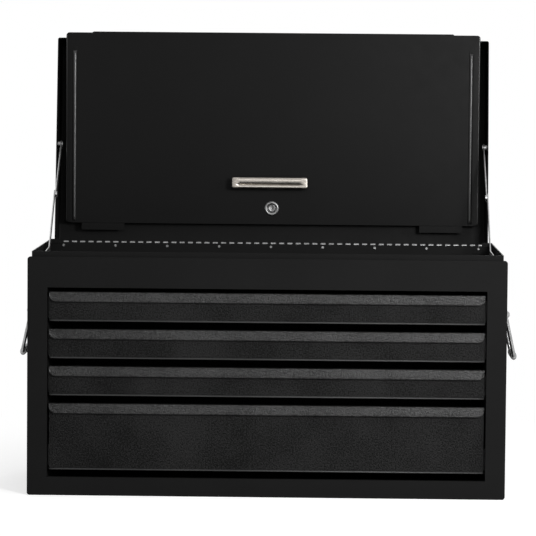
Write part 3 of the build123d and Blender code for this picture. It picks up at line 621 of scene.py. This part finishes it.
def cover_handle():
    """A brushed bar with two rounded ridges, a groove between them and rounded ends."""
    lo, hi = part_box("cover_handle")
    depth = 8 * MM
    middle = (lo.z + hi.z) / 2
    half = (hi.z - lo.z) / 2
    groove = middle - 1.9 * MM
    groove_half, groove_depth = 1.1 * MM, 1.5 * MM
    ridge_fall = 1.15 * MM
    edge_round = 3.2 * MM
    end_set_back = 3.5 * MM
    back_chamfer = 1.6 * MM
    least_depth = 0.4 * MM
    cap = 5 * MM
    post = 15 * MM

    def profile(scale, cut):
        """The bar's section; scale rounds its ends and cut is the groove's depth."""
        ring = []
        top, low = middle + half * scale, middle - half * scale
        back = lo.y + depth
        front = lo.y + (1 - scale) * end_set_back
        steps = 26
        for i in range(steps + 1):
            t = i / steps
            z = top + (low - top) * t
            sink = falls_back(min(t, 1 - t) * 2 * half * scale, edge_round)
            upper = (z - (groove + top) / 2) / ((top - groove) / 2)
            lower = (z - (groove + low) / 2) / ((groove - low) / 2)
            crest = max(1 - upper**2, 1 - lower**2, 0.0)
            away = abs(z - groove) / groove_half
            sink += (1 - crest) * ridge_fall * cut
            sink += cut * groove_depth * max(0.0, 1 - away**2)
            ring.append((min(front + sink, back - least_depth), z))
        ring.append((back, low + back_chamfer * scale))
        ring.append((back, top - back_chamfer * scale))
        return ring

    left = []
    for a in range(0, 91, 10):
        r = math.radians(a)
        left.append((lo.x + cap * (1 - math.cos(r)) ** 1.5, 0.72 + 0.28 * math.sin(r) ** 0.7, 0.0))
    left += [(lo.x + 9 * MM, 1.0, 0.0), (lo.x + 10.5 * MM, 1.0, 0.6), (lo.x + 13 * MM, 1.0, 1.0)]
    right = [(lo.x + hi.x - x, k, c) for x, k, c in reversed(left)]
    bm = bmesh.new()
    skin(bm, [[bm.verts.new((x, y, z)) for y, z in profile(k, c)] for x, k, c in left + right])
    # two posts with flared feet against the cover: depth, half width and half height
    post_rings = (
        (lo.y + depth - 1 * MM, 6.6, 5.6),
        (lo.y + depth + 3 * MM, 5.8, 5.0),
        (hi.y - 4 * MM, 5.8, 5.0),
        (hi.y - 1.4 * MM, 7.0, 6.0),
        (hi.y, 7.4, 6.2),
    )
    squareness = 0.6
    around = 24
    for x in (lo.x + post / 2, hi.x - post / 2):
        rings = []
        for y, w, h in post_rings:
            ring = []
            for i in range(around):
                a = 2 * math.pi * i / around
                c, d = math.cos(a), math.sin(a)
                u = w * MM * math.copysign(abs(c) ** squareness, c)
                v = h * MM * math.copysign(abs(d) ** squareness, d)
                ring.append(bm.verts.new((x + u, y, middle + v)))
            rings.append(ring)
        skin(bm, rings)
    obj = finish_mesh("cover_handle_bar", bm, NICKEL, 50)
    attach(obj, "cover")
    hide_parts("cover_handle")


cover_handle()


# ---- lock -------------------------------------------------------------------------------


def turned(name, profile, x, z, material):
    """A turned piece about an axis along Y, from (y, radius) points."""
    steps = 64
    angles = [2 * math.pi * i / steps for i in range(steps)]
    sections = [[(x + r * math.cos(a), y, z + r * math.sin(a)) for a in angles] for y, r in profile]
    return finish_mesh(name, loft(sections, endless=True), material, 30)


def lock_bezel():
    """The lock's turned case: a domed ring, a step down to the plug and a threaded barrel."""
    lo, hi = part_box("lock_body")
    x, z = (lo.x + hi.x) / 2, (lo.z + hi.z) / 2
    ring, barrel, hole = 11.5 * MM, 9.5 * MM, 6.1 * MM
    pitch, thread = 1.0 * MM, 0.45 * MM
    end_chamfer = 0.5 * MM
    f = lo.y
    cover = f + 2.4 * MM
    profile = [
        (f + 1.4 * MM, hole),
        (f + 0.75 * MM, hole + 0.3 * MM),
        (f + 0.6 * MM, hole + 0.7 * MM),
        (f + 0.85 * MM, hole + 0.95 * MM),
        (f + 0.4 * MM, hole + 1.4 * MM),
        (f + 0.12 * MM, hole + 2.1 * MM),
        (f, hole + 2.8 * MM),
        (f + 0.14 * MM, hole + 3.6 * MM),
        (f + 0.5 * MM, hole + 4.3 * MM),
        (f + 1.1 * MM, ring - 0.45 * MM),
        (f + 1.8 * MM, ring - 0.08 * MM),
        (cover, ring),
        (cover, barrel),
    ]
    y = cover + 1.4 * MM
    while y + pitch < hi.y - 0.6 * MM:
        profile += [(y, barrel), (y + pitch / 2, barrel - thread)]
        y += pitch
    profile += [(hi.y - end_chamfer, barrel), (hi.y, barrel - end_chamfer), (hi.y, hole)]
    obj = turned("lock_bezel", profile, x, z, CHROME)
    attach(obj, "cover")
    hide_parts("lock_body")


lock_bezel()


def lock_face():
    """The plug: a dished face with a keyway, and the square shank that drives the cam."""
    lo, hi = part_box("lock_plug")
    x = (lo.x + hi.x) / 2
    z = (lo.z + hi.z) / 2
    r = 6.0 * MM
    shank = 2.4 * MM
    slot_w, slot_h = 1.2 * MM, 4.0 * MM
    steps = 64
    angles = [2 * math.pi * i / steps for i in range(steps)]

    def circle(y, radius):
        return [(x + radius * math.cos(a), y, z + radius * math.sin(a)) for a in angles]

    def oblong(y, half_w, half_h):
        """The points of a rectangle's outline that lie at a circle's angles."""
        out = []
        for a in angles:
            c, d = math.cos(a), math.sin(a)
            k = min(half_w / max(abs(c), 1e-9), half_h / max(abs(d), 1e-9))
            out.append((x + k * c, y, z + k * d))
        return out

    f = lo.y
    sections = [
        oblong(hi.y, shank, shank),
        oblong(hi.y - 2.0 * MM, shank, shank),
        circle(hi.y - 2.2 * MM, r),
        circle(f + 1.2 * MM, r),
        circle(f + 0.5 * MM, r - 0.5 * MM),
        circle(f + 0.35 * MM, r - 1.0 * MM),
        circle(f + 0.9 * MM, r - 1.5 * MM),
        oblong(f + 1.1 * MM, slot_w + 0.5 * MM, slot_h),
        oblong(f + 1.4 * MM, slot_w, slot_h - 0.3 * MM),
        oblong(f + 5.0 * MM, slot_w, slot_h - 0.3 * MM),
    ]
    obj = finish_mesh("lock_face", loft(sections), CHROME, 30)
    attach(obj, "lock_cylinder")
    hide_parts("lock_plug")


lock_face()


# ---- side handles: ribbed sleeves --------------------------------------------------------


def sleeve(side):
    """A ribbed oval sleeve round the bail's middle, with rolled ends."""
    node = f"bail_grip_{side}"
    lo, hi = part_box(node)
    lean = math.radians(12.1) * (1 if side == "right" else -1)
    cx, cz = (lo.x + hi.x) / 2, (lo.z + hi.z) / 2
    wide, tall, bore = 4.7 * MM, 6.4 * MM, 2.65 * MM
    length = hi.y - lo.y
    # distances along the sleeve, each with its share of the full width
    valley, shoulder = 0.92, 0.985
    end = [(0.0, 0.80), (0.5 * MM, 0.90), (1.4 * MM, 0.97), (3.0 * MM, 0.97), (3.4 * MM, valley)]
    ribs = 10
    start = 4.2 * MM
    pitch = (length - 2 * start) / ribs
    stations = list(end)
    for i in range(ribs):
        s = start + pitch * i
        stations += [(s, valley), (s + pitch * 0.18, shoulder)]
        stations += [(s + pitch * 0.5, 1.0), (s + pitch * 0.82, shoulder)]
    stations += [(length - s, k) for s, k in reversed(end)]
    around = 40

    def oval(y, k_wide, k_tall):
        out = []
        for i in range(around):
            a = 2 * math.pi * i / around
            u, v = k_wide * math.cos(a), k_tall * math.sin(a)
            px = cx + u * math.cos(lean) - v * math.sin(lean)
            pz = cz + u * math.sin(lean) + v * math.cos(lean)
            out.append((px, y, pz))
        return out

    sections = [oval(lo.y + s, wide * k, tall * k) for s, k in stations]
    sections += [oval(hi.y, bore, bore), oval(lo.y, bore, bore)]
    obj = finish_mesh(f"handle_sleeve_{side}", loft(sections, endless=True), GRIP, 35)
    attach(obj, f"handle_{side}")
    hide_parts(node)


for side in SIDES:
    sleeve(side)


# ---- stage, light and camera ------------------------------------------------------------


def camera():
    """The photograph's view: a long lens a little above the chest."""
    yaw, pitch, roll = (math.radians(a) for a in (-0.918, 3.839, 0.495))
    ahead = Vector((math.sin(yaw), math.cos(yaw), 0))
    right = Vector((math.cos(yaw), -math.sin(yaw), 0))
    up = Vector((0, 0, 1))
    look = ahead * math.cos(pitch) - up * math.sin(pitch)
    above = up * math.cos(pitch) + ahead * math.sin(pitch)
    side = right * math.cos(roll) + above * math.sin(roll)
    head = above * math.cos(roll) - right * math.sin(roll)
    data = bpy.data.cameras.new("camera")
    data.lens = 205.915
    data.sensor_width = 36.0
    data.clip_end = 60.0
    obj = bpy.data.objects.new("camera", data)
    m = Matrix((side, head, -look)).transposed().to_4x4()
    m.translation = Vector((0.0709, -4.5256, 0.6230))
    obj.matrix_world = m
    bpy.context.scene.collection.objects.link(obj)
    bpy.context.scene.camera = obj


def seen_directly(tree):
    """1 for what the camera, a mirror or glass sees, 0 for the light that the rest gets."""
    path = tree.nodes.new("ShaderNodeLightPath")
    total = path.outputs["Is Camera Ray"]
    for kind in ("Is Glossy Ray", "Is Transmission Ray"):
        more = tree.nodes.new("ShaderNodeMath")
        more.operation = "MAXIMUM"
        tree.links.new(total, more.inputs[0])
        tree.links.new(path.outputs[kind], more.inputs[1])
        total = more.outputs[0]
    return total


def stage():
    """White surroundings and a pale floor that takes the chest's soft shadow."""
    world = bpy.data.worlds.new("world")
    bpy.context.scene.world = world
    world.use_nodes = True
    t = world.node_tree
    back = t.nodes["Background"]
    back.inputs["Color"].default_value = (1, 1, 1, 1)
    back.inputs["Strength"].default_value = 0.28
    plain = t.nodes.new("ShaderNodeBackground")
    plain.inputs["Color"].default_value = (1, 1, 1, 1)
    plain.inputs["Strength"].default_value = 1.0
    mix = t.nodes.new("ShaderNodeMixShader")
    t.links.new(seen_directly(t), mix.inputs[0])
    t.links.new(back.outputs[0], mix.inputs[1])
    t.links.new(plain.outputs[0], mix.inputs[2])
    t.links.new(mix.outputs[0], t.nodes["World Output"].inputs["Surface"])

    bm = bmesh.new()
    bmesh.ops.create_grid(bm, x_segments=1, y_segments=1, size=30.0)
    me = bpy.data.meshes.new("floor")
    bm.to_mesh(me)
    bm.free()
    floor = bpy.data.objects.new("floor", me)
    bpy.context.scene.collection.objects.link(floor)
    m = bpy.data.materials.new("floor")
    m.use_nodes = True
    t = m.node_tree
    for n in list(t.nodes):
        if n.type != "OUTPUT_MATERIAL":
            t.nodes.remove(n)
    out = next(n for n in t.nodes if n.type == "OUTPUT_MATERIAL")
    diffuse = t.nodes.new("ShaderNodeBsdfDiffuse")
    diffuse.inputs["Color"].default_value = (0.7, 0.7, 0.7, 1)
    glow = t.nodes.new("ShaderNodeEmission")
    glow.inputs["Strength"].default_value = 0.6
    add = t.nodes.new("ShaderNodeAddShader")
    t.links.new(diffuse.outputs[0], add.inputs[0])
    t.links.new(glow.outputs[0], add.inputs[1])
    # the floor turns to plain white away from the chest, so no horizon shows
    white = t.nodes.new("ShaderNodeEmission")
    white.inputs["Strength"].default_value = 1.0
    place = t.nodes.new("ShaderNodeTexCoord")
    far = t.nodes.new("ShaderNodeVectorMath")
    far.operation = "LENGTH"
    t.links.new(place.outputs["Object"], far.inputs[0])
    fade = t.nodes.new("ShaderNodeMapRange")
    fade.interpolation_type = "SMOOTHSTEP"
    fade.inputs["From Min"].default_value = 0.35
    fade.inputs["From Max"].default_value = 0.95
    t.links.new(far.outputs["Value"], fade.inputs["Value"])
    blend = t.nodes.new("ShaderNodeMixShader")
    t.links.new(fade.outputs["Result"], blend.inputs[0])
    t.links.new(add.outputs[0], blend.inputs[1])
    t.links.new(white.outputs[0], blend.inputs[2])
    mix = t.nodes.new("ShaderNodeMixShader")
    t.links.new(seen_directly(t), mix.inputs[0])
    t.links.new(diffuse.outputs[0], mix.inputs[1])
    t.links.new(blend.outputs[0], mix.inputs[2])
    t.links.new(mix.outputs[0], out.inputs["Surface"])
    me.materials.append(m)


def lamp(name, place, aim, size, power):
    """A square area lamp, its size in metres and its power in watts."""
    data = bpy.data.lights.new(name, "AREA")
    data.shape = "RECTANGLE"
    data.size = size
    data.size_y = size
    data.energy = power
    obj = bpy.data.objects.new(name, data)
    obj.location = place
    obj.rotation_mode = "QUATERNION"
    obj.rotation_quaternion = (Vector(aim) - Vector(place)).to_track_quat("-Z", "Y")
    bpy.context.scene.collection.objects.link(obj)


camera()
stage()
lamp("key", (2.6, -1.75, 1.0), (0.0, -0.1, 0.3), 0.35, 16)
lamp("near", (0.66, -1.55, 0.7), (0.25, -0.15, 0.25), 0.3, 19)
lamp("front", (0.35, -4.4, 1.2), (0, 0, 0.3), 1.5, 14)
lamp("fill", (-2.4, -2.0, 1.6), (0, 0, 0.3), 1.8, 6)
lamp("top", (0.0, -0.2, 3.0), (0, 0, 0.3), 2.2, 12)
lamp("back", (0.3, 2.6, 1.6), (0, 0.2, 0.4), 1.6, 20)

scene = bpy.context.scene
scene.view_settings.view_transform = "Standard"
